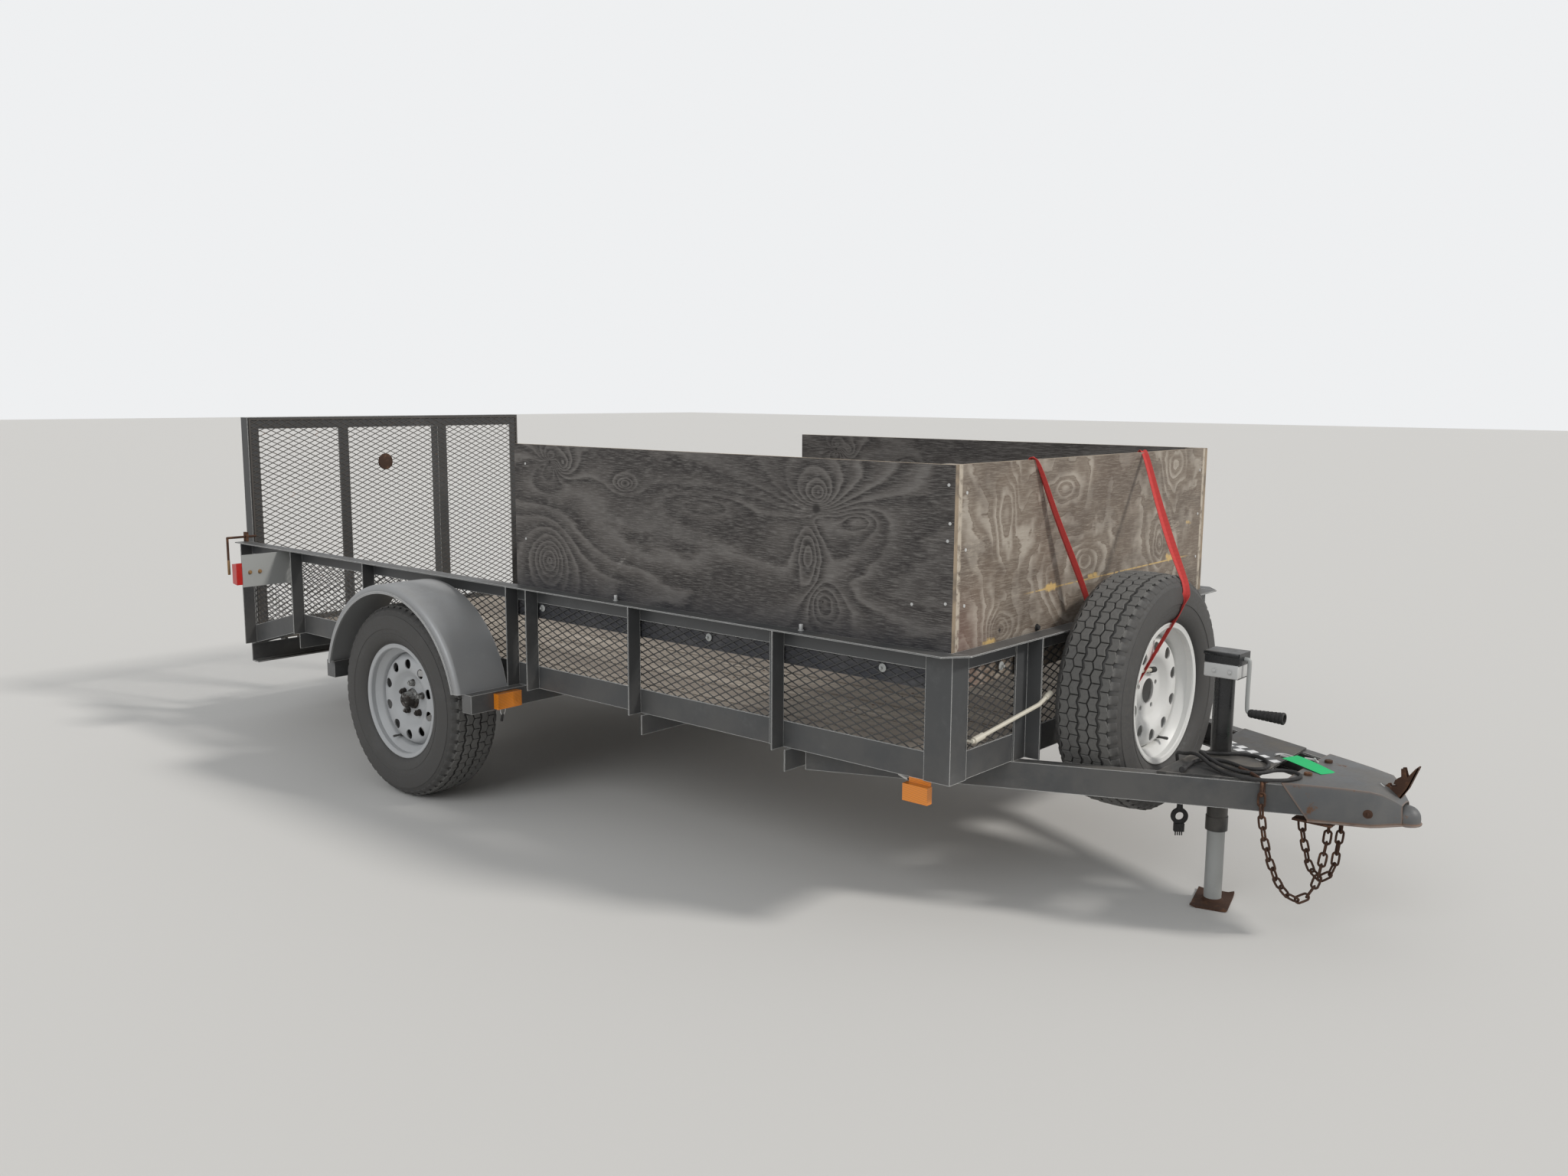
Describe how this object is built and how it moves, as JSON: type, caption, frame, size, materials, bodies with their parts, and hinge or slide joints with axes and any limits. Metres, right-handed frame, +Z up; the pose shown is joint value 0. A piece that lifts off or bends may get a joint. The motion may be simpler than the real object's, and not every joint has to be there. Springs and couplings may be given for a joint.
{
  "type": "utility trailer",
  "caption": "Open single-axle utility trailer with mesh sides, plywood boards, ramp gate, tongue jack and spare wheel.",
  "frame": {"origin": "middle of the overall length, on the centreline, at ground level", "axes": "+X forward towards the coupler, +Y to the left side, +Z up"},
  "size_m": [4.617, 2.032, 1.297],
  "materials": {
    "frame_paint": "satin charcoal enamel, weathered",
    "mesh_steel": "satin charcoal enamel over expanded metal",
    "deck_wood": "weathered grey softwood",
    "plywood": "stained and weathered plywood",
    "tyre_rubber": "matte black rubber",
    "rim_paint": "silver-grey enamel",
    "rusty_steel": "rusted bare steel",
    "coupler_paint": "grey paint with rust",
    "zinc": "dull zinc plate",
    "jack_black": "black enamel",
    "amber_lens": "moulded amber lens",
    "red_lens": "moulded red lens",
    "strap_web": "woven red webbing",
    "cream_plastic": "aged cream plastic",
    "lead_rubber": "black rubber"
  },
  "bodies": {
    "root": {"side_rail_right": "frame_paint", "side_rail_left": "frame_paint", "front_rail": "frame_paint", "cross_members": "frame_paint", "rear_crossmember": "frame_paint", "top_rail_right": "frame_paint", "top_rail_left": "frame_paint", "top_rail_front": "frame_paint", "uprights_right": "frame_paint", "uprights_left": "frame_paint", "corner_posts": "frame_paint", "front_posts": "frame_paint", "mesh_right": "mesh_steel", "mesh_left": "mesh_steel", "mesh_front": "mesh_steel", "deck_boards": "deck_wood", "tail_boards": "deck_wood", "ply_right": "plywood", "ply_left": "plywood", "ply_front": "plywood", "ply_battens": "plywood", "fender_right": "frame_paint", "fender_left": "frame_paint", "axle": "frame_paint", "leaf_springs": "frame_paint", "spring_mounts": "frame_paint", "fender_tubes": "frame_paint", "gate_hinges": "frame_paint", "gate_latches": "rusty_steel", "lamp_plates": "zinc", "tail_lamps": "red_lens", "marker_lamps": "amber_lens", "tongue_rail_right": "frame_paint", "tongue_rail_left": "frame_paint", "tongue_plate": "frame_paint", "coupler": "coupler_paint", "coupler_latch": "rusty_steel", "jack_tube": "jack_black", "jack_head": "jack_black", "jack_crank": "zinc", "spare_tyre": "tyre_rubber", "spare_rim": "rim_paint", "strap": "strap_web", "safety_chains": "rusty_steel", "stay_rod": "cream_plastic", "wiring_lead": "lead_rubber", "lead_plug": "lead_rubber", "lead_gland": "lead_rubber"},
    "wheel_right": {"tyre_right": "tyre_rubber", "rim_right": "rim_paint", "hub_right": "rusty_steel"},
    "wheel_left": {"tyre_left": "tyre_rubber", "rim_left": "rim_paint", "hub_left": "rusty_steel"},
    "gate": {"gate_frame": "frame_paint", "gate_mesh": "mesh_steel"},
    "jack_leg": {"jack_leg": "zinc", "jack_foot": "rusty_steel"}
  },
  "joints": [
    {"name": "wheel_right_spin", "type": "hinge", "parent": "root", "child": "wheel_right", "pos_m": [-0.7715, -0.8875, 0.34], "axis": [0, 1, 0], "continuous": true},
    {"name": "wheel_left_spin", "type": "hinge", "parent": "root", "child": "wheel_left", "pos_m": [-0.7715, 0.8875, 0.34], "axis": [0, 1, 0], "continuous": true},
    {"name": "gate_fold", "type": "hinge", "parent": "root", "child": "gate", "pos_m": [-2.2715, 0, 0.345], "axis": [0, -1, 0], "range_deg": [0, 108]},
    {"name": "jack_leg_slide", "type": "slide", "parent": "root", "child": "jack_leg", "axis": [0, 0, 1], "range_m": [0, 0.18]}
  ]
}
